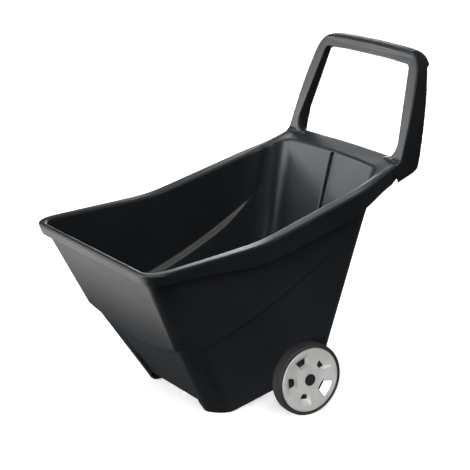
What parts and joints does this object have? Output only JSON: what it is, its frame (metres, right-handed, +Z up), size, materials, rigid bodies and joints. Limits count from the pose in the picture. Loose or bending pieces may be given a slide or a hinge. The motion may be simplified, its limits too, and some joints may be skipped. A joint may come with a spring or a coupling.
{
  "type": "garden cart",
  "caption": "Two-wheeled moulded garden cart: a deep tub with a pouring lip, a looped push handle at the rear and small wheels on a steel axle.",
  "frame": {"origin": "bottom centre of the bounding box, on the ground the cart stands on", "axes": "+Z up, -Y towards the pouring lip at the front, +Y towards the handle, +X to the cart's left-hand side; the axle runs along X"},
  "size_m": [0.588, 0.8534, 0.8421],
  "materials": {
    "body": "fine moulded grain, low sheen",
    "grip": "textured, dull",
    "tyre": "dull, slightly dusty",
    "core": "satin",
    "silver": "silver paint on moulded plastic, satin",
    "steel": "zinc plated",
    "nylon": "natural, satin"
  },
  "bodies": {
    "cart": {"cart_body": "body", "handle_grip": "grip", "axle": "steel", "axle_spacer_left": "nylon", "inner_washer_left": "steel", "outer_washer_left": "steel", "push_nut_left": "steel", "axle_spacer_right": "nylon", "inner_washer_right": "steel", "outer_washer_right": "steel", "push_nut_right": "steel"},
    "left_wheel": {"hub_bush_left": "nylon", "wheel_core_left": "core", "tyre_left": "tyre", "wheel_cover_left": "silver", "hub_cap_left": "core"},
    "right_wheel": {"hub_bush_right": "nylon", "wheel_core_right": "core", "tyre_right": "tyre", "wheel_cover_right": "silver", "hub_cap_right": "core"}
  },
  "joints": [
    {"name": "left_wheel_spin", "type": "hinge", "parent": "cart", "child": "left_wheel", "pos_m": [0.273, 0.0173, 0.091], "axis": [1, 0, 0], "continuous": true},
    {"name": "right_wheel_spin", "type": "hinge", "parent": "cart", "child": "right_wheel", "pos_m": [-0.273, 0.0173, 0.091], "axis": [1, 0, 0], "continuous": true}
  ]
}
